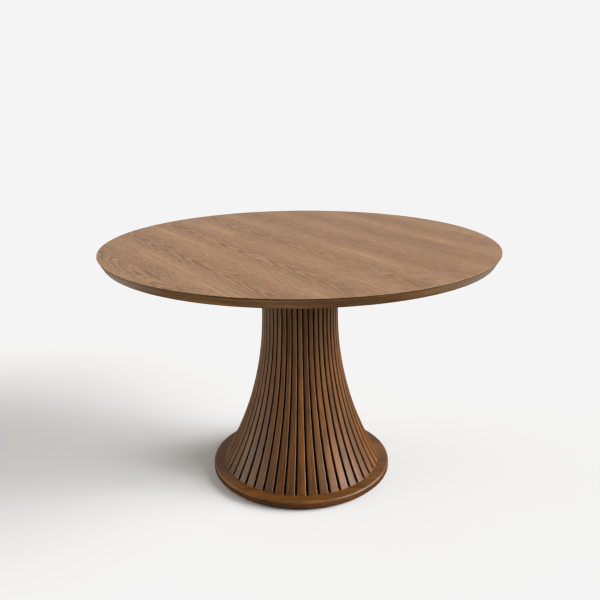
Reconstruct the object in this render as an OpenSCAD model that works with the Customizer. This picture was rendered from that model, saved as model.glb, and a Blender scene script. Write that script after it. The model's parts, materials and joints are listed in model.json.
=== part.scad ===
// Tilt top table: a round veneered top that tips up on a slatted drum pedestal.
// The origin is the middle of the footprint, on the floor. +Z is up, and the front, where the
// catch is, faces -Y. At rest the top lies flat on the pivot block.

/* [Top] */
// Diameter of the round top
top_d = 1200; // [1100:10:1300]
// Height of the top's upper face above the floor
top_h = 755; // [750:1:765]
// Thickness of the top with its veneers
top_t = 28; // [26:1:32]
// How far the edge leans in towards the underside
edge_lean = 15; // [5:1:20]
// Width of the solid lipping at the underside
lip_w = 15; // [12:1:30]
// Thickness of each veneer
veneer_t = 0.8; // [0.6:0.1:1.2]

/* [Drum] */
// Number of slats around the drum
slat_n = 46; // [40:2:46]
// Gap between neighbouring slats at the neck
neck_gap = 5; // [4:0.5:6]
// Gap between neighbouring slats at their feet
foot_gap = 8; // [6:0.5:9]
// Depth of a slat, from its face to the liner
slat_depth = 18; // [14:1:20]
// Outer radius of the straight neck
neck_r = 120; // [116:1:121]
// Height at which the neck begins to flare
neck_z = 540; // [530:5:550]
// Radius of the curve that the slats flare along
sweep_r = 1020; // [980:10:1060]
// Slope of the slats at their feet, from the vertical
foot_slope = 28; // [22:1:28]

/* [Plinth] */
// Radius of the round plinth
plinth_r = 290; // [280:1:310]
// Height of the plinth's upper face above the floor
plinth_top = 32; // [30:1:36]
// How far the levelling feet stand proud of the plinth
foot_proud = 3; // [2:0.5:4]
// Distance of each levelling foot from the table's centre
foot_at = 240; // [200:5:250]

/* [Tilt] */
// Distance of the pivot line behind the table's centre
pivot_y = 100; // [96:1:104]
// Depth of the pivot line below the underside of the top
pivot_drop = 25; // [25:0.5:26]
// Radius of a pivot pin
pin_r = 6; // [5:0.5:7]
// Angle at which the tilted top meets its buffers
tilt_max = 80; // [76:1:82]

/* [Catch] */
// Travel of the catch's bolt
bolt_travel = 12; // [11:1:13]
// How far the bolt reaches past the front of the pivot block
bolt_reach = 8; // [6:1:9]

/* [Hidden] */
$fn = 144;
sweep_fn = 360;
walnut = "#8a5a34";
veneer = "#a2846b";
end_grain = "#6d4324";
plywood = "#cdb083";
steel = "#9a9da1";
dark_steel = "#55585c";
brass = "#b8954a";
rubber = "#2a2a2a";
eps = 1; // overshoot of a cutter, or overlap of shapes that join
running_gap = 0.05; // between a shaft and its bore
free_gap = 0.3; // between faces that move past each other

// Top
top_r = top_d / 2;
under_z = top_h - top_t;
core_r = top_r - edge_lean - lip_w;
face_z = top_h - veneer_t;
lean_per_mm = edge_lean / top_t;

// Drum: an arc about (sweep_x, neck_z) joins the neck to a straight foot
cap_bottom = 664;
cap_top = 680;
cap_r = neck_r + 4;
cap_bevel = 4;
sweep_x = neck_r + sweep_r;
liner_t = 1.5;
skin_depth = slat_depth + liner_t;
slat_pitch = 360 / slat_n;
slat_pairs = slat_n / 2;
foot_rise = neck_z - sweep_r * sin(foot_slope) - plinth_top; // height of the straight foot
slat_foot_r = sweep_x - sweep_r * cos(foot_slope) + foot_rise * tan(foot_slope);
wedge_r = 320; // beyond the drum's widest point
former_t = 15;
former_z = [160, 340, 520];
former_n = len(former_z);

// Plinth, feet, ballast and column
plinth_round = 7;
plinth_tuck = 9;
foot_r = 19;
foot_pad_t = 5;
foot_well_r = 21;
foot_well_top = 9;
foot_nut_r = 9;
foot_stud_r = 5;
foot_stud_top = 26;
insert_r = 8;
insert_top = 27;
stud_hole_top = 28;
foot_n = 4;
ballast_r = 190;
ballast_t = 12;
ballast_top = plinth_top + ballast_t;
flange_t = 8;
column_r = 38;
column_wall = 3;
base_flange_r = 85;
head_flange_r = 95;
base_bolt_at = 62;
bolt_r = 4;
bolt_head_r = 7.5;
bolt_head_t = 5.5;
base_bolt_end = 12;

// Pivot block, bearers, pins
pivot_z = under_z - pivot_drop;
block_half_w = 122;
block_t = 2 * (pivot_z - cap_top);
block_top = cap_top + block_t;
block_front = -100;
block_bolt_x = 60;
block_bolt_y = 45;
block_bolt_end = 716;
bush_r = 9;
bush_in = 88; // distance of a bush's inner end from the centre
washer_r = 15;
washer_t = 3.5;
washer_out = block_half_w + washer_t;
bearer_in = washer_out + 0.5;
bearer_w = 30;
bearer_out = bearer_in + bearer_w;
bearer_drop = 50;
bearer_half = 400;
bearer_taper = 40;
bearer_tip = 20; // depth left at a bearer's end
bearer_screw_y = [-330, -120, 200, 330];
screw_r = 2.5;
screw_head_r = 5;
screw_head_t = 4;
screw_well_r = 5.5;
screw_well_top = 700;
screw_end = 745;
pin_in = bush_in + 2;
pin_head_r = 14;
pin_head_t = 3;
pad_r = 12;
pad_x = 80;
pad_y = -70;

// Buffers: they meet the cap's rear edge when the top is fully tilted
buffer_x = 40;
buffer_r = 10;
stop_z = cap_top - cap_bevel;
stop_y = sqrt(pow(cap_r, 2) - pow(buffer_x - buffer_r, 2));
stop_reach = (stop_y - pivot_y) * sin(tilt_max) + (stop_z - pivot_z) * cos(tilt_max);
buffer_h = pivot_drop - stop_reach - free_gap;
buffer_along = (pivot_z - stop_z + (pivot_drop - buffer_h) * cos(tilt_max)) / sin(tilt_max);
buffer_y = pivot_y + buffer_along;

// Catch: a sprung bolt in a case under the top, and a keeper plate on the block
keeper_t = 2.5;
keeper_half_w = 22;
keeper_z = [684, 716];
keeper_screw_x = 16;
keeper_screw_r = 1.8;
bolt_half_w = 8;
bolt_z = [695.5, 704.5];
bolt_tip_y = block_front + bolt_reach;
bolt_tail_y = bolt_tip_y - 56;
bolt_bevel = 6;
bolt_nose = 3; // height left at the nose's tip
bolt_mid_z = (bolt_z[0] + bolt_z[1]) / 2;
mouth_gap = 0.5; // around the bolt in the keeper
case_back_y = block_front - keeper_t - 2;
case_wall = 4;
spring_len = 24;
case_front_y = bolt_tail_y - spring_len - case_wall;
case_half_w = 13;
case_bottom = 690;
case_flange_half_w = 26;
case_flange_t = 3;
case_screw_x = 20;
case_screw_y = [case_front_y + 8, case_back_y - 8];
case_screw_end = 741;
case_screw_r = 1.8;
case_screw_head_r = 3.5;
case_screw_head_t = 2.5;
stem_r = 3;
stem_y = bolt_tail_y + 8;
knob_r = 9;
knob_h = 20;
knob_top = 684;
spring_wire_r = 0.8;
spring_coil_r = 3.4;
spring_turns = 6;
spring_steps = 12; // rings in a turn
spring_sides = 8;

slat_names = [for (i = [1 : slat_pairs]) slat_name(i)];
former_names = [for (i = [1 : former_n]) str("former_", i)];
foot_names = [for (i = [1 : foot_n]) str("levelling_foot_", i)];

function slat_name(i) = str("slats_", i < 10 ? "0" : "", i);

// ---- Shared shapes ----

// Half section of the drum's inside, as (radius, height), set in from the slats' faces by depth.
// Its neck, flare and straight foot overlap a little where they join.
module drum_inside(depth) {
    r = sweep_r + depth;
    bend_x = sweep_x - r * cos(foot_slope);
    bend_z = neck_z - r * sin(foot_slope);
    foot_x = bend_x + (bend_z - plinth_top) * tan(foot_slope);
    translate([0, neck_z - eps])
        square([neck_r - depth, cap_bottom - neck_z + eps]);
    difference() {
        translate([0, bend_z])
            square([bend_x + eps, neck_z - bend_z]);
        translate([sweep_x, neck_z])
            circle(r = r, $fn = sweep_fn);
    }
    polygon([
        [0, plinth_top],
        [foot_x, plinth_top],
        [bend_x - eps * tan(foot_slope), bend_z + eps],
        [0, bend_z + eps]
    ]);
}

// Half section of a layer of the drum, between two depths behind the slats' faces
module drum_layer(from_depth, to_depth) {
    difference() {
        drum_inside(from_depth);
        drum_inside(to_depth);
    }
}

// A cylinder that runs along X between two distances from the centre, side being 1 or -1
module along_x(r, from_x, to_x, side) {
    translate([side > 0 ? from_x : -to_x, pivot_y, pivot_z])
        rotate([0, 90, 0])
            cylinder(r = r, h = to_x - from_x);
}

// A solid extruded along X, symmetric about the centre, from a section drawn in (y, z)
module across(half_w) {
    rotate([90, 0, 90])
        linear_extrude(height = 2 * half_w, center = true)
            children();
}

module at_ring(radius, count, turn = 45) {
    for (i = [0 : count - 1])
        rotate([0, 0, turn + 360 * i / count])
            translate([radius, 0, 0])
                children();
}

module at_block_bolts() {
    for (x = [-1, 1], y = [-1, 1])
        translate([x * block_bolt_x, y * block_bolt_y, 0])
            children();
}

module at_bearer_screws(side) {
    for (y = bearer_screw_y)
        translate([side * (bearer_in + bearer_w / 2), y, 0])
            children();
}

module at_case_screws() {
    for (x = [-1, 1], y = case_screw_y)
        translate([x * case_screw_x, y, 0])
            children();
}

// An upright rod between two heights
module upright(r, from_z, to_z) {
    translate([0, 0, from_z])
        cylinder(r = r, h = to_z - from_z);
}

// A box given by its lowest and highest corners
module span(low, high) {
    translate(low)
        cube(high - low);
}

// The holes that the screws of the bearers and the catch leave in the top
module top_screw_holes() {
    for (side = [-1, 1])
        at_bearer_screws(side)
            upright(screw_r, under_z - eps, screw_end);
    at_case_screws()
        upright(case_screw_r, under_z - eps, case_screw_end);
}

// ---- Top ----

module top_core() {
    color(plywood)
        difference() {
            upright(core_r, under_z + veneer_t, face_z);
            top_screw_holes();
        }
}

module top_veneer() {
    rim_r = top_r - veneer_t * lean_per_mm;
    color(veneer)
        rotate_extrude()
            polygon([[0, face_z], [rim_r, face_z], [top_r, top_h], [0, top_h]]);
}

module backing_veneer() {
    color(veneer)
        difference() {
            upright(core_r, under_z, under_z + veneer_t);
            top_screw_holes();
        }
}

module edge_lipping() {
    rim_r = top_r - veneer_t * lean_per_mm;
    color(end_grain)
        rotate_extrude()
            polygon([[core_r, under_z], [top_r - edge_lean, under_z], [rim_r, face_z], [core_r, face_z]]);
}

// ---- Bearers and pivots ----

module bearer(side) {
    low = under_z - bearer_drop;
    color(walnut)
        difference() {
            translate([side * (bearer_in + bearer_w / 2), 0, 0])
                across(bearer_w / 2)
                    polygon([
                        [-bearer_half, under_z],
                        [-bearer_half, under_z - bearer_tip],
                        [-bearer_half + bearer_taper, low],
                        [bearer_half - bearer_taper, low],
                        [bearer_half, under_z - bearer_tip],
                        [bearer_half, under_z]
                    ]);
            along_x(pin_r, bearer_in - eps, bearer_out + eps, side);
            at_bearer_screws(side) {
                upright(screw_well_r, low - eps, screw_well_top);
                upright(screw_r, low, under_z + eps);
            }
        }
}

module bearer_screws() {
    color(steel)
        for (side = [-1, 1])
            at_bearer_screws(side) {
                upright(screw_head_r, screw_well_top - screw_head_t, screw_well_top);
                upright(screw_r, screw_well_top, screw_end);
            }
}

module pivot_pin(side) {
    color(steel) {
        along_x(pin_r, pin_in, bearer_out, side);
        along_x(pin_head_r, bearer_out, bearer_out + pin_head_t, side);
    }
}

module pivot_bush(side) {
    color(brass)
        difference() {
            along_x(bush_r, bush_in, block_half_w, side);
            along_x(pin_r + running_gap, bush_in - eps, block_half_w + eps, side);
        }
}

module thrust_washers() {
    color(brass)
        for (side = [-1, 1])
            difference() {
                along_x(washer_r, block_half_w, washer_out, side);
                along_x(pin_r + free_gap, block_half_w - eps, washer_out + eps, side);
            }
}

module tilt_buffers() {
    color(rubber)
        for (side = [-1, 1])
            translate([side * buffer_x, buffer_y, 0])
                upright(buffer_r, under_z - buffer_h, under_z);
}

// ---- Catch ----

module catch_case() {
    color(brass)
        difference() {
            union() {
                span(
                    [-case_half_w, case_front_y, case_bottom],
                    [case_half_w, case_back_y, under_z]
                );
                span(
                    [-case_flange_half_w, case_front_y, under_z - case_flange_t],
                    [case_flange_half_w, case_back_y, under_z]
                );
            }
            // the bolt's channel
            span(
                [-bolt_half_w - free_gap, case_front_y + case_wall, bolt_z[0] - free_gap],
                [bolt_half_w + free_gap, case_back_y + eps, bolt_z[1] + free_gap]
            );
            // the knob's slot
            span(
                [-stem_r - free_gap, stem_y - bolt_travel - stem_r - free_gap, case_bottom - eps],
                [stem_r + free_gap, stem_y + stem_r + free_gap, bolt_mid_z]
            );
            at_case_screws()
                upright(case_screw_r, case_bottom, under_z + eps);
        }
}

module catch_case_screws() {
    seat = under_z - case_flange_t;
    color(brass)
        at_case_screws() {
            upright(case_screw_head_r, seat - case_screw_head_t, seat);
            upright(case_screw_r, seat, case_screw_end);
        }
}

module catch_bolt() {
    color(brass)
        difference() {
            across(bolt_half_w)
                polygon([
                    [bolt_tail_y, bolt_z[0]],
                    [bolt_tip_y - bolt_bevel, bolt_z[0]],
                    [bolt_tip_y, bolt_z[1] - bolt_nose],
                    [bolt_tip_y, bolt_z[1]],
                    [bolt_tail_y, bolt_z[1]]
                ]);
            translate([0, stem_y, 0])
                upright(stem_r, bolt_z[0] - eps, bolt_mid_z);
        }
}

module catch_knob() {
    foot = knob_top - knob_h;
    color(brass)
        translate([0, stem_y, 0])
            rotate_extrude()
                polygon([
                    [0, foot],
                    [knob_r - 3, foot],
                    [knob_r, foot + 4],
                    [knob_r, foot + 8],
                    [stem_r + 2, foot + 14],
                    [stem_r + 1, knob_top],
                    [stem_r, knob_top],
                    [stem_r, bolt_mid_z],
                    [0, bolt_mid_z]
                ]);
}

// Point k of the wire's ring number i
function spring_point(i, k) =
    let (
        turned = 360 * i / spring_steps,
        around = 360 * k / spring_sides,
        out = spring_coil_r + spring_wire_r * cos(around),
        pitch = (spring_len - 2 * spring_wire_r) / spring_turns,
        along = spring_wire_r + pitch * i / spring_steps + spring_wire_r * sin(around)
    )
    [out * cos(turned), bolt_tail_y - spring_len + along, bolt_mid_z + out * sin(turned)];

module catch_spring() {
    rings = spring_turns * spring_steps;
    n = spring_sides;
    points = [for (i = [0 : rings], k = [0 : n - 1]) spring_point(i, k)];
    sides = [
        for (i = [0 : rings - 1], k = [0 : n - 1])
            [i * n + k, i * n + (k + 1) % n, (i + 1) * n + (k + 1) % n, (i + 1) * n + k]
    ];
    first_end = [for (k = [n - 1 : -1 : 0]) k];
    last_end = [for (k = [0 : n - 1]) rings * n + k];
    color(dark_steel)
        polyhedron(points, concat(sides, [first_end, last_end]));
}

module keeper_plate() {
    color(brass)
        difference() {
            span(
                [-keeper_half_w, block_front - keeper_t, keeper_z[0]],
                [keeper_half_w, block_front, keeper_z[1]]
            );
            keeper_mouth(block_front + eps);
            keeper_screw_shanks();
        }
}

// The space for the bolt, from in front of the keeper back to the given depth
module keeper_mouth(back_y) {
    span(
        [-bolt_half_w - mouth_gap, block_front - keeper_t - eps, bolt_z[0] - mouth_gap],
        [bolt_half_w + mouth_gap, back_y, bolt_z[1] + mouth_gap]
    );
}

module keeper_screw_shanks() {
    for (side = [-1, 1])
        translate([side * keeper_screw_x, block_front + 14, bolt_mid_z])
            rotate([90, 0, 0])
                cylinder(r = keeper_screw_r, h = 14 + keeper_t);
}

module keeper_screws() {
    color(brass) {
        keeper_screw_shanks();
        for (side = [-1, 1])
            translate([side * keeper_screw_x, block_front - keeper_t, bolt_mid_z])
                rotate([90, 0, 0])
                    cylinder(r = 3, h = 1.2);
    }
}

// ---- Pivot block and head ----

module pivot_block() {
    color(walnut)
        difference() {
            across(block_half_w)
                union() {
                    translate([block_front, cap_top])
                        square([pivot_y - block_front, block_t]);
                    translate([pivot_y, pivot_z])
                        circle(r = block_t / 2);
                }
            for (side = [-1, 1])
                along_x(bush_r, bush_in, block_half_w + eps, side);
            at_block_bolts()
                upright(bolt_r, cap_top - eps, block_bolt_end);
            keeper_mouth(bolt_tip_y + 2);
            keeper_screw_shanks();
        }
}

module rest_pads() {
    color(rubber)
        for (side = [-1, 1])
            translate([side * pad_x, pad_y, 0])
                upright(pad_r, block_top, under_z - 0.1);
}

module head_cap() {
    color(walnut)
        difference() {
            rotate_extrude()
                polygon([
                    [0, cap_bottom],
                    [cap_r - cap_bevel, cap_bottom],
                    [cap_r, cap_bottom + cap_bevel],
                    [cap_r, cap_top - cap_bevel],
                    [cap_r - cap_bevel, cap_top],
                    [0, cap_top]
                ]);
            at_block_bolts()
                upright(bolt_r, cap_bottom - eps, cap_top + eps);
        }
}

module block_bolts() {
    under_flange = cap_bottom - flange_t;
    color(steel)
        at_block_bolts() {
            translate([0, 0, under_flange - bolt_head_t])
                cylinder(r = bolt_head_r, h = bolt_head_t, $fn = 6);
            upright(bolt_r, under_flange, block_bolt_end);
        }
}

// ---- Drum ----

// Half the width of a slat whose face is at radius r, beside gaps of that width
function slat_half_w(r, gap) = r * tan(slat_pitch / 2) - gap / 2 / cos(slat_pitch / 2);

// One slat: the drum's outer layer, cut to a wedge that leaves gaps growing towards the foot
module slat() {
    neck_half_w = slat_half_w(neck_r, neck_gap);
    widening = (slat_half_w(slat_foot_r, foot_gap) - neck_half_w) / (slat_foot_r - neck_r);
    apex = neck_r - neck_half_w / widening;
    half_w = (wedge_r - apex) * widening;
    color(walnut)
        intersection() {
            rotate([90, 0, 0])
                linear_extrude(height = 2 * half_w, center = true)
                    drum_layer(0, slat_depth);
            translate([0, 0, plinth_top])
                linear_extrude(height = cap_bottom - plinth_top)
                    polygon([[apex, 0], [wedge_r, -half_w], [wedge_r, half_w]]);
        }
}

// Pair number i, counted from the front
module slat_pair(i) {
    for (k = [0, 1])
        rotate([0, 0, -90 + slat_pitch * (2 * (i - 1) + k)])
            slat();
}

module drum_liner() {
    color("#3a2a1e")
        rotate_extrude()
            drum_layer(slat_depth, skin_depth);
}

module former(i) {
    low = former_z[i - 1];
    color(plywood)
        difference() {
            rotate_extrude()
                intersection() {
                    drum_inside(skin_depth);
                    translate([0, low])
                        square([wedge_r, former_t]);
                }
            upright(column_r + running_gap, low - eps, low + former_t + eps);
        }
}

module column() {
    base = ballast_top;
    bore = column_r - column_wall;
    color(dark_steel)
        difference() {
            rotate_extrude()
                polygon([
                    [bore, base],
                    [base_flange_r, base],
                    [base_flange_r, base + flange_t],
                    [column_r, base + flange_t],
                    [column_r, cap_bottom - flange_t],
                    [head_flange_r, cap_bottom - flange_t],
                    [head_flange_r, cap_bottom],
                    [bore, cap_bottom]
                ]);
            at_ring(base_bolt_at, 4)
                upright(bolt_r, base - eps, base + flange_t + eps);
            at_block_bolts()
                upright(bolt_r, cap_bottom - flange_t - eps, cap_bottom + eps);
        }
}

module base_bolts() {
    seat = ballast_top + flange_t;
    color(steel)
        at_ring(base_bolt_at, 4) {
            upright(bolt_r, base_bolt_end, seat);
            translate([0, 0, seat])
                cylinder(r = bolt_head_r, h = bolt_head_t, $fn = 6);
        }
}

module ballast_plate() {
    color(dark_steel)
        difference() {
            upright(ballast_r, plinth_top, ballast_top);
            at_ring(base_bolt_at, 4)
                upright(bolt_r, plinth_top - eps, ballast_top + eps);
        }
}

// ---- Plinth and feet ----

module plinth() {
    shoulder = plinth_top - plinth_round;
    color(walnut)
        difference() {
            rotate_extrude() {
                polygon([
                    [0, foot_proud],
                    [plinth_r - plinth_tuck, foot_proud],
                    [plinth_r, foot_proud + plinth_tuck],
                    [plinth_r, shoulder],
                    [0, shoulder]
                ]);
                translate([0, shoulder])
                    square([plinth_r - plinth_round, plinth_round]);
                intersection() {
                    translate([plinth_r - plinth_round, shoulder])
                        circle(r = plinth_round);
                    translate([plinth_r - plinth_round, shoulder])
                        square(plinth_round);
                }
            }
            at_ring(foot_at, foot_n) {
                upright(foot_well_r, foot_proud - eps, foot_well_top);
                upright(insert_r, foot_well_top - eps, insert_top);
                upright(foot_stud_r + running_gap, insert_top - eps, stud_hole_top);
            }
            at_ring(base_bolt_at, 4)
                upright(bolt_r, base_bolt_end, plinth_top + eps);
        }
}

module foot_inserts() {
    color(brass)
        at_ring(foot_at, foot_n)
            difference() {
                upright(insert_r, foot_well_top, insert_top);
                upright(foot_stud_r + running_gap, foot_well_top - eps, insert_top + eps);
            }
}

module levelling_foot(i) {
    nut_top = foot_well_top - 0.1;
    color(rubber)
        rotate([0, 0, 45 + 360 * (i - 1) / foot_n])
            translate([foot_at, 0, 0]) {
                rotate_extrude()
                    polygon([
                        [0, 0],
                        [foot_r - 1, 0],
                        [foot_r, 1],
                        [foot_r, foot_pad_t],
                        [0, foot_pad_t]
                    ]);
                translate([0, 0, foot_pad_t])
                    cylinder(r = foot_nut_r, h = nut_top - foot_pad_t, $fn = 6);
                upright(foot_stud_r, nut_top, foot_stud_top);
            }
}

// ---- Nodes ----

top_core();
top_veneer();
backing_veneer();
edge_lipping();
bearer(-1);  // bearer_left
bearer(1);  // bearer_right
bearer_screws();
pivot_pin(-1);  // pivot_pin_left
pivot_pin(1);  // pivot_pin_right
tilt_buffers();
catch_case();
catch_case_screws();
catch_bolt();
catch_knob();
catch_spring();
plinth();
ballast_plate();
column();
base_bolts();
block_bolts();
foot_inserts();
drum_liner();
head_cap();
pivot_block();
rest_pads();
thrust_washers();
pivot_bush(-1);  // pivot_bush_left
pivot_bush(1);  // pivot_bush_right
keeper_plate();
keeper_screws();
for (i = [1 : former_n]) former(i);
for (i = [1 : foot_n]) levelling_foot(i);
for (i = [1 : slat_pairs]) slat_pair(i);
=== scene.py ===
"""The looks of the tilt top table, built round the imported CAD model.

The slats, the top's face and edge, the plinth and the catch's spring are rebuilt here as finer
meshes at the CAD pieces' own sizes, with small roundings and a quirk added; every other CAD node
stays and gets a material. Lengths are in metres. +Z is up and the front of the table faces -Y.
"""

import json
import math

import bpy
import numpy as np
from mathutils import Matrix, Vector


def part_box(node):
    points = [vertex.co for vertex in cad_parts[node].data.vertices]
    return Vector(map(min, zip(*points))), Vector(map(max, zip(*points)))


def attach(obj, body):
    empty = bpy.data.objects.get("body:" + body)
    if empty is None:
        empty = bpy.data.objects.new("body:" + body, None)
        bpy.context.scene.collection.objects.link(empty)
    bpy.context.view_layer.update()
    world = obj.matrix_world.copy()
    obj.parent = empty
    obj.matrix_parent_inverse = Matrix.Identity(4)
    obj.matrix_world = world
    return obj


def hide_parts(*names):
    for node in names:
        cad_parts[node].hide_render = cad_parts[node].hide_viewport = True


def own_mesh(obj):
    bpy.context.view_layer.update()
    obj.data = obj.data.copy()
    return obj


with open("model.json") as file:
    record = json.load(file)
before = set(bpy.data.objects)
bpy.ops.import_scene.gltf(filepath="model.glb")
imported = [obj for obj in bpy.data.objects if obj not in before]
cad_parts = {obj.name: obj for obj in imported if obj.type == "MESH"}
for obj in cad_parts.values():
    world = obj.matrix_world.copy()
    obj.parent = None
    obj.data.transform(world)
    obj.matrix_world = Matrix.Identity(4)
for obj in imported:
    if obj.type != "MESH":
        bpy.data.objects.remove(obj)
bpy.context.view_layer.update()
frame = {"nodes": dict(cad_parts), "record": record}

# ---- Sizes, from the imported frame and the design's driving dimensions ----

TOP_LOW, TOP_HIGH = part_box("edge_lipping")[0].z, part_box("top_veneer")[1].z
VENEER_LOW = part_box("top_veneer")[0].z
TOP_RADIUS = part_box("top_veneer")[1].x
EDGE_LEAN = 0.015
LIPPING_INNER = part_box("top_core")[1].x
QUIRK_DEPTH = 0.0030
QUIRK_HEIGHT = 0.0028

PLINTH_LOW, PLINTH_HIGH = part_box("plinth")[0].z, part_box("plinth")[1].z
PLINTH_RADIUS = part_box("plinth")[1].x
PLINTH_ROUND = 0.007
PLINTH_TUCK = 0.009
WELL_RADIUS = 0.021
WELL_TOP = 0.009
FOOT_COUNT = 4

SLAT_COUNT = 46
NECK_GAP = 0.005
FOOT_GAP = 0.008
SLAT_DEPTH = 0.018
NECK_RADIUS = 0.120
NECK_Z = 0.540
SWEEP_RADIUS = 1.020
FOOT_SLOPE = math.radians(28)
SLAT_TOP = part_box("slats_01")[1].z
SLAT_FOOT_RADIUS = -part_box("slats_01")[0].y

# ---- Mesh helpers ----


def mesh_piece(name, points, faces, material):
    """A smooth-shaded mesh object from points and faces, in the row frame."""
    mesh = bpy.data.meshes.new(name)
    mesh.from_pydata([tuple(p) for p in points], [], faces)
    mesh.validate()
    mesh.materials.append(material)
    mesh.polygons.foreach_set("use_smooth", [True] * len(mesh.polygons))
    piece = bpy.data.objects.new(name, mesh)
    bpy.context.scene.collection.objects.link(piece)
    return piece


def point_values(piece, name, kind, values):
    """Stores a value for each of a piece's points, for its material to read."""
    attribute = piece.data.attributes.new(name, kind, "POINT")
    field = "vector" if kind == "FLOAT_VECTOR" else "value"
    attribute.data.foreach_set(field, np.asarray(values, np.float32).ravel())


def turned(name, outline, material, segments, grain=None):
    """A closed piece turned about the Z axis from an outline of (radius, height).

    The outline runs clockwise. One that starts and ends on the axis gets a point at each pole.
    """
    poles = outline[0][0] == 0
    rim = outline[1:-1] if poles else outline
    size = len(rim)
    angles = np.linspace(0, 2 * np.pi, segments, endpoint=False)
    points = [(r * math.cos(a), r * math.sin(a), z) for a in angles for r, z in rim]
    high, low = len(points), len(points) + 1
    faces = []
    for i in range(segments):
        here, there = i * size, (i + 1) % segments * size
        for k in range(size - 1 if poles else size):
            after = (k + 1) % size
            faces.append((here + k, here + after, there + after, there + k))
        if poles:
            faces.append((high, here, there))
            faces.append((low, there + size - 1, here + size - 1))
    if poles:
        points += [(0.0, 0.0, outline[0][1]), (0.0, 0.0, outline[-1][1])]
    piece = mesh_piece(name, points, faces, material)
    if grain is not None:
        point_values(piece, "grain", "FLOAT_VECTOR", [grain(p) for p in points])
    return piece


def arc(centre, radius, start, end, steps):
    """Points along an arc in a plane, angles in degrees."""
    turns = np.radians(np.linspace(start, end, steps + 1))
    return [(centre[0] + radius * math.cos(t), centre[1] + radius * math.sin(t)) for t in turns]


def stands_for(piece, body, slot, *nodes):
    """The piece rides on a body and replaces CAD nodes; the slot argument is not used."""
    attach(piece, body)
    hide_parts(*nodes)


# ---- Material helpers ----


class Shader:
    """One material's nodes, with a short call for each kind of node that is used here."""

    def __init__(self, name):
        self.material = bpy.data.materials.new(name)
        self.material.use_nodes = True
        self.tree = self.material.node_tree
        self.surface = self.tree.nodes["Principled BSDF"]

    def feed(self, socket, value):
        if isinstance(value, bpy.types.NodeSocket):
            self.tree.links.new(value, socket)
        else:
            socket.default_value = value

    def node(self, kind, settings=None, **inputs):
        made = self.tree.nodes.new(kind)
        for key, value in (settings or {}).items():
            setattr(made, key, value)
        for key, value in inputs.items():
            self.feed(made.inputs[int(key[1:]) if key[1:].isdigit() else key], value)
        return made

    def math(self, operation, a, b=0.0):
        return self.node("ShaderNodeMath", {"operation": operation}, _0=a, _1=b).outputs[0]

    def from_middle(self, value, weight):
        """How far a value from 0 to 1 lies from 0.5, times a weight."""
        return self.math("MULTIPLY", self.math("SUBTRACT", value, 0.5), weight)

    def vector(self, operation, a, b=(0, 0, 0)):
        made = self.node("ShaderNodeVectorMath", {"operation": operation}, _0=a, _1=b)
        return made.outputs["Value" if operation == "LENGTH" else "Vector"]

    def split(self, vector):
        return self.node("ShaderNodeSeparateXYZ", _0=vector).outputs

    def join(self, x, y, z):
        return self.node("ShaderNodeCombineXYZ", _0=x, _1=y, _2=z).outputs[0]

    def noise(self, vector, scale=1.0, detail=2.0, roughness=0.5):
        return self.node(
            "ShaderNodeTexNoise",
            Vector=vector,
            Scale=scale,
            Detail=detail,
            Roughness=roughness,
        ).outputs["Fac"]

    def remap(self, value, from_low, from_high, to_low=0.0, to_high=1.0, smooth=False):
        settings = {"interpolation_type": "SMOOTHSTEP" if smooth else "LINEAR", "clamp": True}
        made = self.node("ShaderNodeMapRange", settings, Value=value)
        for socket, number in zip(made.inputs[1:5], (from_low, from_high, to_low, to_high)):
            socket.default_value = number
        return made.outputs["Result"]

    def mix(self, share, a, b, blend="MIX"):
        made = self.node("ShaderNodeMix", {"data_type": "RGBA", "blend_type": blend})
        for index, value in ((0, share), (6, a), (7, b)):
            if isinstance(value, tuple) and len(value) == 3:
                value = (*value, 1.0)
            self.feed(made.inputs[index], value)
        return made.outputs[2]

    def attribute(self, name, output):
        return self.node("ShaderNodeAttribute", {"attribute_name": name}).outputs[output]

    def object_place(self):
        return self.node("ShaderNodeTexCoord").outputs["Object"]

    def bump(self, height, strength, distance):
        made = self.node("ShaderNodeBump", Height=height, Strength=strength, Distance=distance)
        self.feed(self.surface.inputs["Normal"], made.outputs["Normal"])

    def finish(self, color, roughness, metallic=0.0, specular=0.5):
        for name, value in (
            ("Base Color", color),
            ("Roughness", roughness),
            ("Metallic", metallic),
            ("Specular IOR Level", specular),
        ):
            self.feed(self.surface.inputs[name], value)
        return self.material


def srgb(red, green, blue):
    """A colour given as 0 to 255 sRGB, as linear values."""

    def linear(value):
        share = value / 255
        return share / 12.92 if share <= 0.04045 else ((share + 0.055) / 1.055) ** 2.4

    return (linear(red), linear(green), linear(blue))


# ---- Wood ----
#
# A wood's place is (across, depth, along) in metres, with the fibres running along. Its look is
# built as one tone from 0, dark, to 1, light, out of growth rings, streaks and fibres.


def fibres(s, place, width, length, detail=2.0, roughness=0.5):
    """Noise drawn out along the grain: its features are about width by length."""
    stretched = s.vector("MULTIPLY", place, (1 / width, 1 / width, 1 / length))
    return s.noise(stretched, 1.0, detail, roughness)


def weighted(s, *parts):
    """0.5 plus each part's distance from 0.5 times its weight."""
    total = 0.5
    for value, weight in parts:
        total = s.math("ADD", total, s.from_middle(value, weight))
    return total


def growth(s, rings):
    """Light through a growth ring: it falls slowly to the late wood and comes back quickly."""
    share = s.math("FRACT", rings)
    fall = s.remap(share, 0.1, 0.88, 1.0, 0.0, smooth=True)
    back = s.remap(share, 0.88, 1.0, 0.0, 1.0, smooth=True)
    return s.math("MAXIMUM", fall, back)


def toned(s, tone, look):
    """The wood's colour for a tone: dark, middle and light."""
    low = s.mix(s.remap(tone, 0.0, 0.5), look["dark"], look["middle"])
    return s.mix(s.remap(tone, 0.5, 1.0), low, look["light"])


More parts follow.
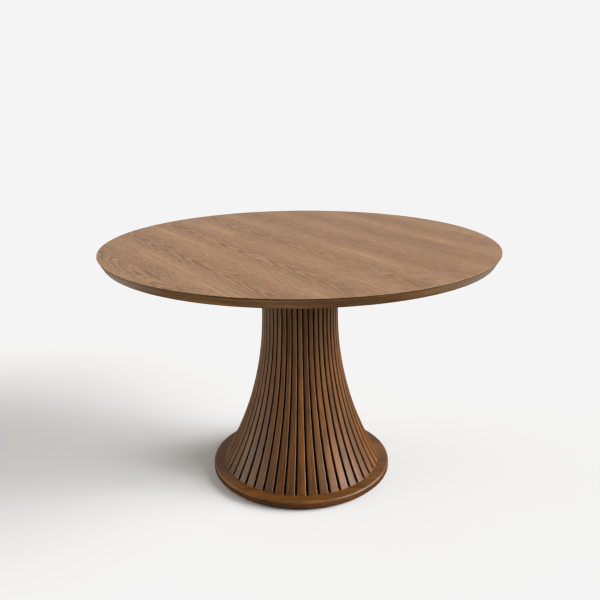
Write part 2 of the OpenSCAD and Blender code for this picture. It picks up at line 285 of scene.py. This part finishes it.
def pores(s, place, look, color):
    """Short dark pores, and the height that they leave."""
    spots = s.remap(fibres(s, place, 0.0009, 0.012, 1.0), 0.60, 0.72)
    return s.mix(s.math("MULTIPLY", spots, look["pore"]), color, look["pores"]), spots


def lacquered(s, color, spots, fine, look, polish=0.0):
    """Finishes a wood: its fibres and pores stand out a little in the lacquer's bump and gloss."""
    height = s.math("SUBTRACT", s.math("MULTIPLY", fine, 0.6), s.math("MULTIPLY", spots, 0.8))
    s.bump(height, look["bump"], 0.0005)
    rough = s.remap(fine, 0.25, 0.75, look["rough"] - 0.05, look["rough"] + 0.07)
    rough = s.math("SUBTRACT", rough, s.math("MULTIPLY", polish, 0.21))
    return s.finish(color, rough, specular=look["specular"])


WALNUT = {
    "light": srgb(134, 84, 34),
    "middle": srgb(95, 56, 19),
    "dark": srgb(54, 31, 11),
    "pores": srgb(26, 14, 6),
    "gray": srgb(86, 61, 31),
    "pore": 0.5,
    "bump": 0.3,
    "rough": 0.35,
    "specular": 0.33,
    "ring_gap": 0.006,
    "ring": 0.3,
    "wander": 0.02,
    "streak": 1.1,
    "fibre": 0.9,
    "cloud": 1.0,
}


def straight_walnut(s, place, look):
    """Straight-grained walnut's colour, pores and finest fibres."""
    x, y = s.split(place)[:2]
    wander = s.from_middle(fibres(s, place, 0.12, 0.5), look["wander"])
    at = s.math("ADD", s.math("ADD", x, s.math("MULTIPLY", y, 0.6)), wander)
    rings = growth(s, s.math("DIVIDE", at, look["ring_gap"]))
    fine = fibres(s, place, 0.0022, 0.035, 3.0, 0.6)
    streak = fibres(s, place, 0.009, 0.16, 3.0, 0.55)
    cloud = fibres(s, place, 0.05, 0.22)
    tone = weighted(
        s, (rings, look["ring"]), (fine, look["fibre"]), (streak, look["streak"]), (cloud, look["cloud"])
    )
    color = toned(s, tone, look)
    elsewhere = s.vector("ADD", place, (3.0, 5.0, 7.0))
    gray = s.remap(fibres(s, elsewhere, 0.03, 0.25), 0.42, 0.72, 0.0, 0.55)
    color = s.mix(gray, color, look["gray"])
    color, spots = pores(s, place, look, color)
    return color, spots, fine


def turned_place(s, turn):
    """The object's own place, turned so that its Z runs along the grain."""
    made = s.node("ShaderNodeMapping", {"vector_type": "POINT"}, Vector=s.object_place())
    made.inputs["Rotation"].default_value = turn
    return made.outputs[0]


def grain_attribute(s):
    """The place that a piece's mesh stores for each of its points, moved on for each piece."""
    seed = s.attribute("seed", "Fac")
    shift = s.vector("MULTIPLY", s.join(seed, seed, seed), (3.1, 7.7, 13.3))
    return s.vector("ADD", s.attribute("grain", "Vector"), shift)


def walnut(name, turn):
    s = Shader(name)
    color, spots, fine = straight_walnut(s, turned_place(s, turn), WALNUT)
    return lacquered(s, color, spots, fine, WALNUT)


GROOVE_SHADE_COLOR = srgb(26, 12, 4)
GROOVE_SHADE_DEPTHS = (0.0002, 0.0030)  # where the painted groove shade starts behind a slat's face, and where it is full
PAINTED_HIGHLIGHT_COLOR = srgb(186, 152, 114)


def slat_walnut():
    """Walnut for the slats: each has its own tone, with painted shade in the grooves and a painted
    highlight along one arris.
    """
    s = Shader("walnut_slat")
    color, spots, fine = straight_walnut(s, grain_attribute(s), WALNUT)
    seed = s.attribute("seed", "Fac")
    tone = s.remap(seed, 0.0, 1.0, 0.80, 1.04)
    color = s.mix(1.0, color, s.join(tone, tone, tone), "MULTIPLY")
    # painted shade: the slats darken with depth behind their faces, into the grooves between them
    depth = s.split(s.attribute("grain", "Vector"))[1]
    groove_shade = s.remap(depth, *GROOVE_SHADE_DEPTHS, 0.0, 0.93)
    color = s.mix(groove_shade, color, GROOVE_SHADE_COLOR)
    # painted highlight: a pale line along each slat's right-hand arris, where the key light catches it;
    # that arris is also glossier
    lit_arris = s.attribute("lit_arris", "Fac")
    arris_highlight = s.math("MULTIPLY", s.remap(lit_arris, 0.3, 1.0), s.remap(fine, 0.3, 0.6, 0.25, 0.75))
    color = s.mix(arris_highlight, color, PAINTED_HIGHLIGHT_COLOR)
    return lacquered(s, color, spots, fine, WALNUT, polish=lit_arris)


PAINTED_SIDE_SHADE = 0.66  # the share of its lightness that the plinth's side keeps under the painted shade


def plinth_walnut():
    """Walnut boards with the grain along X, with painted shade darkening the plinth's side."""
    s = Shader("walnut_plinth")
    color, spots, fine = straight_walnut(s, turned_place(s, (0, math.pi / 2, 0)), WALNUT)
    # painted shade: the side, below the rounded arris, is darkened all round
    height = s.split(s.object_place())[2]
    shade = s.remap(height, PLINTH_HIGH - PLINTH_ROUND, PLINTH_HIGH - 0.002, PAINTED_SIDE_SHADE, 1.0)
    color = s.mix(1.0, color, s.join(shade, shade, shade), "MULTIPLY")
    return lacquered(s, color, spots, fine, WALNUT)


GRAIN_TURN = math.radians(33.007)  # from the Y axis: the veneer runs rear left to front right
LEAF_WIDTH = 0.165
LEAF_BORDER = 0.278  # a joint between leaves lies this far left of the middle
HEART_DEPTH = 0.045  # from the veneer down to the heart of its log
VENEER = {
    "light": srgb(166, 130, 93),
    "middle": srgb(136, 102, 72),
    "dark": srgb(98, 70, 46),
    "gold": srgb(182, 138, 84),
    "gray": srgb(128, 102, 80),
    "pores": srgb(62, 42, 27),
    "pore": 0.45,
    "bump": 0.15,
    "rough": 0.46,
    "specular": 0.5,
    "ring_gap": 0.0050,
    "lean": 0.042,
    "ring": 0.62,
    "fibre": 1.2,
    "dash": 0.8,
    "line": 1.0,
    "streak": 0.35,
    "cloud": 0.25,
}


def veneer_axes(s):
    """The place on the top, across and along the veneer's grain."""
    x, y = s.split(s.object_place())[:2]
    c, d = math.cos(GRAIN_TURN), math.sin(GRAIN_TURN)
    across = s.math("ADD", s.math("MULTIPLY", x, c), s.math("MULTIPLY", y, d))
    along = s.math("SUBTRACT", s.math("MULTIPLY", y, c), s.math("MULTIPLY", x, d))
    return across, along


def leaf_place(s, across, along):
    """The leaf's number, the place across it, and the run along the log that it was cut from."""
    leaf_at = s.math("DIVIDE", s.math("ADD", across, LEAF_BORDER), LEAF_WIDTH)
    leaf = s.math("FLOOR", leaf_at)
    inside = s.from_middle(s.math("FRACT", leaf_at), LEAF_WIDTH)
    chance = s.noise(s.join(s.math("MULTIPLY", leaf, 7.31), 0.5, 0.5), detail=0.0)
    run = s.math("ADD", along, s.from_middle(chance, 1.4))
    return leaf, inside, run


def crown_rings(s, look, leaf, inside, run, along, wander):
    """Growth rings of a leaning log, wandering and set a little off the leaf's middle."""
    chance = s.noise(s.join(s.math("MULTIPLY", leaf, 3.17), 4.5, 0.5), detail=0.0)
    drift = s.noise(s.join(s.math("MULTIPLY", along, 1.3), 3.0, 0.0), detail=1.0)
    off = s.math("ADD", s.math("MULTIPLY", run, look["lean"]), HEART_DEPTH)
    off = s.math("ADD", off, s.from_middle(wander, 0.022))
    side = s.math("ADD", inside, s.from_middle(chance, 0.07))
    side = s.math("ADD", side, s.from_middle(wander, 0.03))
    side = s.math("ADD", side, s.from_middle(drift, 0.03))
    radius = s.vector("LENGTH", s.join(side, off, 0.0))
    return growth(s, s.math("DIVIDE", radius, look["ring_gap"]))


def veneer_material():
    """Crown-cut walnut veneer, laid in leaves side by side.

    Each leaf is cut through its log at a small lean, so the rings come up as nested arches with
    their tips to the rear left, darker and greyer in the heart than at the leaf's straight edges.
    """
    s = Shader("walnut_veneer")
    look = VENEER
    across, along = veneer_axes(s)
    leaf, inside, run = leaf_place(s, across, along)
    spot = s.join(s.math("ADD", inside, s.math("MULTIPLY", leaf, 1.7)), 0.0, run)
    wander = fibres(s, spot, 0.06, 0.22, 4.0, 0.55)
    rings = crown_rings(s, look, leaf, inside, run, along, wander)
    fine = fibres(s, spot, 0.0022, 0.03, 3.0, 0.65)
    dash = fibres(s, spot, 0.0042, 0.035, 1.0, 0.5)
    line = fibres(s, spot, 0.0035, 0.16, 2.0, 0.5)
    streak = fibres(s, spot, 0.012, 0.35, 3.0, 0.6)
    cloud = fibres(s, s.join(across, 0.0, along), 0.09, 0.3, 2.0)
    # the rings break up in the dashes, and fade towards the right
    from_left = s.math("ADD", across, s.from_middle(wander, 0.3))
    figure = s.remap(from_left, -0.1, 0.25, 1.0, 0.45, smooth=True)
    figure = s.math("MULTIPLY", figure, s.remap(dash, 0.3, 0.55, 0.3, 1.0))
    rings = s.math("ADD", s.from_middle(rings, figure), 0.5)
    tone = weighted(
        s,
        (rings, look["ring"]),
        (fine, look["fibre"]),
        (dash, look["dash"]),
        (line, look["line"]),
        (streak, look["streak"]),
        (cloud, look["cloud"]),
    )
    color = toned(s, tone, look)
    off_heart = s.math("ABSOLUTE", inside)
    heart = s.remap(off_heart, 0.015, 0.075, 0.3, 0.0, smooth=True)
    color = s.mix(heart, color, s.mix(1.0, look["gray"], color, "SOFT_LIGHT"))
    golden = s.remap(fibres(s, s.join(across, 2.0, along), 0.014, 0.6, 2.0), 0.56, 0.72)
    edge = s.remap(off_heart, 0.05, 0.08, 0.05, 0.7, smooth=True)
    color = s.mix(s.math("MULTIPLY", golden, edge), color, look["gold"])
    color, spots = pores(s, spot, look, color)
    return lacquered(s, color, spots, fine, look)


def along_rim(point):
    """Grain that runs round a turned piece: across is the radius, along is the arc."""
    x, y, z = point
    return (math.hypot(x, y), z, math.atan2(y, x) * TOP_RADIUS)


EDGE = dict(
    WALNUT,
    light=srgb(142, 101, 58),
    middle=srgb(101, 69, 37),
    dark=srgb(64, 42, 20),
    gray=srgb(98, 74, 48),
)


def edge_walnut():
    """The lipping's walnut, running round the rim, with its quirk darkened: the glue line under the
    veneer, and painted shade.
    """
    s = Shader("walnut_edge")
    color, spots, fine = straight_walnut(s, grain_attribute(s), EDGE)
    height = s.split(s.attribute("grain", "Vector"))[1]
    quirk = VENEER_LOW - QUIRK_HEIGHT
    # the quirk under the veneer: a dark glue line, deepened with painted shade in the recess
    color = s.mix(s.remap(height, quirk - 0.0003, quirk, 0.0, 0.6), color, EDGE["pores"])
    return lacquered(s, color, spots, fine, EDGE)


# ---- Materials of the hidden and metal parts ----


def metal(name, color, roughness):
    s = Shader(name)
    place = s.object_place()
    tarnish = s.noise(place, scale=60.0, detail=4.0, roughness=0.6)
    brushed = s.noise(s.vector("MULTIPLY", place, (900.0, 900.0, 60.0)), detail=2.0)
    dull = tuple(0.6 * value for value in color)
    tint = s.mix(s.remap(tarnish, 0.35, 0.75, 0.0, 0.5), color, dull)
    rough = s.remap(s.math("ADD", tarnish, brushed), 0.6, 1.4, roughness - 0.08, roughness + 0.12)
    s.bump(brushed, 0.15, 0.0001)
    return s.finish(tint, rough, metallic=1.0)


def speckled(name, color, roughness, grain_size, depth):
    """A matte skin with a fine grain, for rubber, nylon and powder coat."""
    s = Shader(name)
    place = s.object_place()
    fine = s.noise(place, scale=1.0 / grain_size, detail=3.0)
    wide = s.noise(place, scale=40.0, detail=2.0)
    pale = tuple(min(1.0, 1.8 * value + 0.01) for value in color)
    tint = s.mix(s.remap(wide, 0.35, 0.7, 0.0, 0.5), color, pale)
    rough = s.remap(fine, 0.3, 0.7, roughness - 0.06, roughness + 0.08)
    s.bump(fine, depth, 0.0003)
    return s.finish(tint, rough)


TWO_PLIES = 0.0028


def plywood_material():
    """Birch plywood: pale faces, and plies that show as bands of height at the edges."""
    s = Shader("plywood")
    x, y, z = s.split(s.object_place())
    ply = s.math("FRACT", s.math("DIVIDE", z, TWO_PLIES))
    band = s.remap(ply, 0.42, 0.58, smooth=True)
    grain = s.noise(s.join(s.math("MULTIPLY", x, 60.0), s.math("MULTIPLY", y, 900.0), z), detail=3.0)
    color = s.mix(band, srgb(214, 186, 142), srgb(188, 152, 104))
    color = s.mix(s.remap(grain, 0.35, 0.7, 0.0, 0.5), color, srgb(170, 132, 88))
    s.bump(grain, 0.2, 0.0003)
    return s.finish(color, 0.65)


# Blender may add a number to a material's name, so they are kept by the slots' own names.
MATERIALS = {
    "walnut_veneer": veneer_material(),
    "walnut_slat": slat_walnut(),
    "walnut_edge": edge_walnut(),
    "walnut_plinth": plinth_walnut(),
    "walnut_solid": walnut("walnut_solid", (math.pi / 2, 0, 0)),
    "backing_veneer": walnut("backing_veneer", (math.pi / 2, 0, 0.9)),
    "dark_liner": speckled("dark_liner", srgb(38, 26, 18), 0.8, 0.002, 0.3),
    "plywood": plywood_material(),
    "painted_steel": speckled("painted_steel", srgb(52, 52, 55), 0.5, 0.0008, 0.4),
    "zinc_steel": metal("zinc_steel", srgb(200, 200, 198), 0.35),
    "spring_steel": metal("spring_steel", srgb(140, 140, 142), 0.3),
    "brass": metal("brass", srgb(205, 165, 95), 0.3),
    "rubber": speckled("rubber", srgb(34, 34, 34), 0.75, 0.0006, 0.4),
    "foot_plastic": speckled("foot_plastic", srgb(30, 30, 31), 0.5, 0.0006, 0.3),
}

# ---- Slats ----

CORNER = 0.0022  # radius of a slat's worked corners
CORNER_STEPS = 4
BACK_SHARE = 0.93  # a slat's width behind, as a share of its width in front
SLAT_STATIONS = 64
SLAT_SEED = 46


def drum_line(depth, share):
    """Point (radius, height) and outward direction on the drum's profile, depth behind its face.

    share runs from 0 at the foot to 1 at the head, at an even pace along the profile.
    """
    bend_z = NECK_Z - SWEEP_RADIUS * math.sin(FOOT_SLOPE)
    straight = (bend_z - PLINTH_HIGH) / math.cos(FOOT_SLOPE)
    curved = SWEEP_RADIUS * FOOT_SLOPE
    upright = SLAT_TOP - NECK_Z
    at = share * (straight + curved + upright)
    centre_r = NECK_RADIUS + SWEEP_RADIUS
    if at <= straight:
        slope = FOOT_SLOPE
        r = centre_r - SWEEP_RADIUS * math.cos(slope) + (straight - at) * math.sin(slope)
        z = PLINTH_HIGH + at * math.cos(slope)
    elif at <= straight + curved:
        slope = FOOT_SLOPE - (at - straight) / SWEEP_RADIUS
        r = centre_r - SWEEP_RADIUS * math.cos(slope)
        z = NECK_Z - SWEEP_RADIUS * math.sin(slope)
    else:
        slope = 0.0
        r = NECK_RADIUS
        z = NECK_Z + at - straight - curved
    normal = (math.cos(slope), math.sin(slope))
    return (r - depth * normal[0], z - depth * normal[1]), at


def slat_half_width(radius):
    """Half a slat's width at a radius, beside gaps that grow from the neck to the foot."""
    half_pitch = math.pi / SLAT_COUNT

    def beside(r, gap):
        return r * math.tan(half_pitch) - gap / 2 / math.cos(half_pitch)

    neck = beside(NECK_RADIUS, NECK_GAP)
    foot = beside(SLAT_FOOT_RADIUS, FOOT_GAP)
    return neck + (foot - neck) * (radius - NECK_RADIUS) / (SLAT_FOOT_RADIUS - NECK_RADIUS)


def slat_section(half_width):
    """A slat's section as (across, depth, lit_arris): square behind, rounded in front, with a painted
    highlight marked on one arris.
    """
    right = [
        (
            half_width - CORNER + CORNER * math.sin(t),
            CORNER - CORNER * math.cos(t),
            # marks the right-hand arris for the painted highlight
            math.sin(2 * t) ** 2,
        )
        for t in np.linspace(0, math.pi / 2, CORNER_STEPS + 1)
    ]
    front = [(share * (half_width - CORNER), 0.0, 0.0) for share in (-0.5, 0.0, 0.5)]
    left = [(-across, depth, 0.0) for across, depth, _ in reversed(right)]
    back = [(side * half_width * BACK_SHARE, SLAT_DEPTH, 0.0) for side in (1, -1)]
    return left + front + right + back


def slat_mesh(angle, seed, points, faces, grain, seeds, arris_highlight):
    """Adds one slat's closed mesh to the lists."""
    first = len(points)
    size = len(slat_section(0.01))
    turn = Matrix.Rotation(angle, 3, "Z")
    for station in range(SLAT_STATIONS + 1):
        share = station / SLAT_STATIONS
        (face_r, _), _ = drum_line(0.0, share)
        for across, depth, lit_arris in slat_section(slat_half_width(face_r)):
            (r, z), at = drum_line(depth, share)
            z = min(max(z, PLINTH_HIGH), SLAT_TOP)
            points.append(turn @ Vector((r, across, z)))
            grain.append((across, depth, at))
            seeds.append(seed)
            arris_highlight.append(lit_arris)
    for station in range(SLAT_STATIONS):
        here, there = first + station * size, first + (station + 1) * size
        for k in range(size):
            after = (k + 1) % size
            faces.append((here + k, here + after, there + after, there + k))
    faces.append(tuple(first + k for k in reversed(range(size))))
    faces.append(tuple(first + SLAT_STATIONS * size + k for k in range(size)))


def make_slats():
    """One piece for each pair of slats, counted from the front."""
    seeds_of = np.random.default_rng(SLAT_SEED).random(SLAT_COUNT)
    for pair in range(SLAT_COUNT // 2):
        points, faces, grain, seeds, arris_highlight = [], [], [], [], []
        for k in range(2):
            number = 2 * pair + k
            angle = -math.pi / 2 + 2 * math.pi * number / SLAT_COUNT
            slat_mesh(angle, seeds_of[number], points, faces, grain, seeds, arris_highlight)
        piece = mesh_piece(f"slat_pair_{pair + 1:02d}", points, faces, MATERIALS["walnut_slat"])
        point_values(piece, "grain", "FLOAT_VECTOR", grain)
        point_values(piece, "seed", "FLOAT", seeds)
        point_values(piece, "lit_arris", "FLOAT", arris_highlight)
        piece.data.set_sharp_from_angle(angle=math.radians(40))
        stands_for(piece, "pedestal", "walnut_slat", f"slats_{pair + 1:02d}")


make_slats()

# ---- Top and plinth ----

TURNED_SEGMENTS = 288
ARRIS = 0.0007
VENEER_LEAN = 0.0004  # how far the veneer's edge leans in
LOW_ARRIS = ((0.0004, 0.0014), (-0.0006, 0.0003), (-0.0020, 0.0))  # out and up from the low corner
PLINTH_FLAT = 0.2  # radius of the ring that divides the plinth's upper face
EDGE_SEED = 0.4
SHARP_ANGLE = math.radians(35)


def make_top_face():
    """The face veneer with its eased arris."""
    rim = TOP_RADIUS - ARRIS
    outline = [(r * rim, TOP_HIGH) for r in (0.0, 0.25, 0.5, 0.75, 0.9)]
    outline += arc((rim, TOP_HIGH - ARRIS), ARRIS, 90, 0, 5)
    outline += [(TOP_RADIUS - VENEER_LEAN, VENEER_LOW), (0.0, VENEER_LOW)]
    return turned("top_face", outline, MATERIALS["walnut_veneer"], TURNED_SEGMENTS)


def make_top_edge():
    """The lipping: it leans in towards the underside, with a small quirk under the veneer."""
    low_r = TOP_RADIUS - EDGE_LEAN
    shoulder = TOP_RADIUS - EDGE_LEAN * QUIRK_HEIGHT / (VENEER_LOW - TOP_LOW)
    outline = [
        (LIPPING_INNER, VENEER_LOW),
        (TOP_RADIUS - QUIRK_DEPTH, VENEER_LOW),
        (TOP_RADIUS - QUIRK_DEPTH, VENEER_LOW - QUIRK_HEIGHT),
        (shoulder, VENEER_LOW - QUIRK_HEIGHT),
    ]
    outline += [(low_r + out, TOP_LOW + up) for out, up in LOW_ARRIS]
    outline.append((LIPPING_INNER, TOP_LOW))
    piece = turned("top_edge", outline, MATERIALS["walnut_edge"], TURNED_SEGMENTS, grain=along_rim)
    point_values(piece, "seed", "FLOAT", [EDGE_SEED] * len(piece.data.vertices))
    return piece


def make_plinth():
    """The plinth, with its rounded arris, and wells underneath for the levelling feet."""
    shoulder = (PLINTH_RADIUS - PLINTH_ROUND, PLINTH_HIGH - PLINTH_ROUND)
    outline = [(0.0, PLINTH_HIGH), (PLINTH_FLAT, PLINTH_HIGH)]
    outline += arc(shoulder, PLINTH_ROUND, 90, 0, 8)
    outline += [
        (PLINTH_RADIUS, PLINTH_LOW + PLINTH_TUCK),
        (PLINTH_RADIUS - PLINTH_TUCK, PLINTH_LOW),
        (0.0, PLINTH_LOW),
    ]
    piece = turned("plinth_turned", outline, MATERIALS["walnut_plinth"], TURNED_SEGMENTS)
    wells = []
    for number in range(FOOT_COUNT):
        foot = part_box(f"levelling_foot_{number + 1}")
        middle = (foot[0] + foot[1]) / 2
        made = turned(
            f"well_cutter_{number + 1}",
            [(0.0, WELL_TOP), (WELL_RADIUS, WELL_TOP), (WELL_RADIUS, -0.01), (0.0, -0.01)],
            MATERIALS["walnut_plinth"],
            48,
        )
        made.data.transform(Matrix.Translation((middle.x, middle.y, 0.0)))
        wells.append(made)
    return cut_with(piece, wells)


def cut_with(piece, cutters):
    """Takes the cutters' shapes out of a piece's mesh, and removes the cutters."""
    for cutter in cutters:
        cut = piece.modifiers.new("cut", "BOOLEAN")
        cut.operation = "DIFFERENCE"
        cut.object = cutter
    bpy.context.view_layer.update()
    seen = piece.evaluated_get(bpy.context.evaluated_depsgraph_get())
    carved = bpy.data.meshes.new_from_object(seen)
    piece.modifiers.clear()
    piece.data = carved
    for cutter in cutters:
        bpy.data.objects.remove(cutter)
    return piece


for piece, body, slot, node in (
    (make_top_face(), "top", "walnut_veneer", "top_veneer"),
    (make_top_edge(), "top", "walnut_edge", "edge_lipping"),
    (make_plinth(), "pedestal", "walnut_plinth", "plinth"),
):
    piece.data.set_sharp_from_angle(angle=SHARP_ANGLE)
    stands_for(piece, body, slot, node)

# ---- The catch's spring ----

SPRING_LOW, SPRING_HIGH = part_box("catch_spring")
SPRING_WIRE = 0.0008
SPRING_TURNS = 6
SPRING_STEPS = 36
SPRING_SIDES = 14


def make_spring():
    """The catch's coil spring: round wire on a helix along Y."""
    middle = (SPRING_LOW + SPRING_HIGH) / 2
    coil = (SPRING_HIGH.x - SPRING_LOW.x) / 2 - SPRING_WIRE
    start, end = SPRING_LOW.y + SPRING_WIRE, SPRING_HIGH.y - SPRING_WIRE
    count = SPRING_TURNS * SPRING_STEPS
    points, faces = [], []
    for i in range(count + 1):
        turn = 2 * math.pi * i / SPRING_STEPS
        out = Vector((math.cos(turn), 0.0, math.sin(turn)))
        for k in range(SPRING_SIDES):
            around = 2 * math.pi * k / SPRING_SIDES
            reach = coil + SPRING_WIRE * math.cos(around)
            y = start + (end - start) * i / count + SPRING_WIRE * math.sin(around)
            points.append(Vector((middle.x, y, middle.z)) + out * reach)
    for i in range(count):
        for k in range(SPRING_SIDES):
            here, after = i * SPRING_SIDES + k, i * SPRING_SIDES + (k + 1) % SPRING_SIDES
            faces.append((here, after, after + SPRING_SIDES, here + SPRING_SIDES))
    faces.append(tuple(reversed(range(SPRING_SIDES))))
    faces.append(tuple(count * SPRING_SIDES + k for k in range(SPRING_SIDES)))
    spring = mesh_piece("coil_spring", points, faces, MATERIALS["spring_steel"])
    stands_for(spring, "top", "spring_steel", "catch_spring")
    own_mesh(spring)


make_spring()

# ---- CAD nodes that stay ----

SLOT_OF = {row["node"]: row["material_slot"] for row in frame["record"]["subparts"]}
for name, node in frame["nodes"].items():
    node.data.materials.clear()
    node.data.materials.append(MATERIALS[SLOT_OF[name]])

# ---- Floor, backdrop, light and camera ----

FLOOR_RADIUS = 39.5
DOME_RADIUS = 40
CARD_Y = -3.4
CARD_HALF_WIDTH = 2.4
CARD_LOW, CARD_HIGH = 0.01, 3.2
GLOW_Z = -0.002
UNDER_Z = -0.003
BACKDROP_COLOR = (1.03, 1.03, 1.02, 1.0)
WORLD_STRENGTH = 0.4
GLOW_NEAR_X, GLOW_FAR_X = 1.0, 9.0
GLOW_FRONT_Y, GLOW_BACK_Y = -5.0, 9.0

def stage_disc(name, radius, height, material):
    angles = np.linspace(0, 2 * np.pi, 96, endpoint=False)
    points = [(radius * math.cos(a), radius * math.sin(a), height) for a in angles]
    piece = mesh_piece(name, points, [tuple(range(len(points)))], material)
    return piece


def floor_material(base):
    s = Shader("stage_floor")
    return s.finish((base, base, base * 0.992, 1.0), 0.9, specular=0.0)


def hide_from(piece, *rays):
    """Hides a piece of the stage from kinds of light rays."""
    for way in rays:
        setattr(piece, f"visible_{way}", False)


def backdrop():
    """A dome that only the camera sees, in the floor's colour."""
    material = bpy.data.materials.new("stage_backdrop")
    material.use_nodes = True
    tree = material.node_tree
    tree.nodes.clear()
    glow = tree.nodes.new("ShaderNodeEmission")
    glow.inputs["Color"].default_value = BACKDROP_COLOR
    out = tree.nodes.new("ShaderNodeOutputMaterial")
    tree.links.new(glow.outputs[0], out.inputs[0])
    segments = 48
    angles = np.linspace(0, 2 * np.pi, segments, endpoint=False)
    levels = np.linspace(-0.2, math.pi / 2, 12)
    points, faces = [], []
    for level in levels:
        r, z = DOME_RADIUS * math.cos(level), DOME_RADIUS * math.sin(level)
        points += [(r * math.cos(a), r * math.sin(a), z) for a in angles]
    for i in range(len(levels) - 1):
        low, high = i * segments, (i + 1) * segments
        for k in range(segments):
            after = (k + 1) % segments
            faces.append((low + k, low + after, high + after, high + k))
    dome = mesh_piece("stage_dome", points, faces, material)
    hide_from(dome, "diffuse", "glossy", "transmission", "shadow")


def black_material():
    s = Shader("stage_black")
    return s.finish((0.002, 0.002, 0.002, 1.0), 1.0, specular=0.0)


def glow_material(strength):
    s = Shader("stage_glow")
    s.feed(s.surface.inputs["Emission Color"], (1.0, 0.94, 0.86, 1.0))
    s.feed(s.surface.inputs["Emission Strength"], strength)
    return s.finish((0.0, 0.0, 0.0, 1.0), 1.0, specular=0.0)


def reflection_cards():
    """Cards that only reflections see: dark in front and under the floor, pale to either side."""
    unseen = ("camera", "diffuse", "shadow")
    black = black_material()
    under = stage_disc("stage_under", FLOOR_RADIUS - 0.5, UNDER_Z, black)
    hide_from(under, *unseen)
    for side in (-1, 1):
        points = [
            (side * GLOW_NEAR_X, GLOW_FRONT_Y, GLOW_Z),
            (side * GLOW_FAR_X, GLOW_FRONT_Y, GLOW_Z),
            (side * GLOW_FAR_X, GLOW_BACK_Y, GLOW_Z),
            (side * GLOW_NEAR_X, GLOW_BACK_Y, GLOW_Z),
        ]
        glow = mesh_piece(f"stage_glow_{side + 2}", points, [(0, 1, 2, 3)], glow_material(0.65))
        hide_from(glow, *unseen)
    points = [
        (-CARD_HALF_WIDTH, CARD_Y, CARD_LOW),
        (CARD_HALF_WIDTH, CARD_Y, CARD_LOW),
        (CARD_HALF_WIDTH, CARD_Y, CARD_HIGH),
        (-CARD_HALF_WIDTH, CARD_Y, CARD_HIGH),
    ]
    card = mesh_piece("stage_card", points, [(0, 1, 2, 3)], black)
    hide_from(card, *unseen)


floor = stage_disc("stage_floor", FLOOR_RADIUS, 0.0, floor_material(0.70))
hide_from(floor, "glossy")
backdrop()
reflection_cards()

world = bpy.data.worlds.new("studio")
world.use_nodes = True
world.node_tree.nodes["Background"].inputs["Color"].default_value = (1.0, 1.0, 1.0, 1.0)
world.node_tree.nodes["Background"].inputs["Strength"].default_value = WORLD_STRENGTH
bpy.context.scene.world = world


def sun(name, strength, angle, azimuth, elevation, color=(1.0, 1.0, 1.0)):
    """A soft light from a direction: azimuth is counted from +X towards +Y, in degrees."""
    data = bpy.data.lights.new(name, "SUN")
    data.energy = strength
    data.angle = math.radians(angle)
    data.color = color
    lamp = bpy.data.objects.new(name, data)
    a, e = math.radians(azimuth), math.radians(elevation)
    towards = Vector((math.cos(a) * math.cos(e), math.sin(a) * math.cos(e), math.sin(e)))
    lamp.rotation_mode = "QUATERNION"
    lamp.rotation_quaternion = towards.to_track_quat("Z", "Y")
    bpy.context.scene.collection.objects.link(lamp)


KEY_AZIMUTHS = (-24, -7, 10)
LEFT_COLOR = (1.0, 0.93, 0.81)
BACK_COLOR = (1.0, 0.95, 0.88)
for number, azimuth in enumerate(KEY_AZIMUTHS):
    sun(f"key_{number + 1}", strength=2.2, angle=26, azimuth=azimuth, elevation=28)
sun("fill_left", strength=1.3, angle=44, azimuth=186, elevation=15, color=LEFT_COLOR)
sun("fill_back", strength=0.42, angle=50, azimuth=150, elevation=22, color=BACK_COLOR)

CAMERA_PLACE = Vector((0.0, -2.085, 1.2006))
CAMERA_PITCH = 16.78
CAMERA_YAW = 0.015
CAMERA_ROLL = -0.53
CAMERA_LENS = 41.61

camera_data = bpy.data.cameras.new("camera")
camera_data.sensor_width = 36.0
camera_data.lens = CAMERA_LENS
camera = bpy.data.objects.new("camera", camera_data)
aim = Matrix.Rotation(math.radians(-CAMERA_YAW), 4, "Z")
aim = aim @ Matrix.Rotation(math.radians(90 - CAMERA_PITCH), 4, "X")
aim = aim @ Matrix.Rotation(math.radians(CAMERA_ROLL), 4, "Z")
camera.matrix_world = Matrix.Translation(CAMERA_PLACE) @ aim
bpy.context.scene.collection.objects.link(camera)
bpy.context.scene.camera = camera

WHITE = 0.905
SHOULDER = ((0.6, 0.6), (0.8, 0.785))


def film():
    """The picture's tones: linear up to a soft shoulder, with white a little under full."""
    settings = bpy.context.scene.view_settings
    settings.view_transform = "Standard"
    settings.use_curve_mapping = True
    mapping = settings.curve_mapping
    mapping.extend = "HORIZONTAL"
    curve = mapping.curves[3]
    curve.points[1].location = (1.0, WHITE)
    for at, out in SHOULDER:
        curve.points.new(at, out)
    mapping.update()


film()
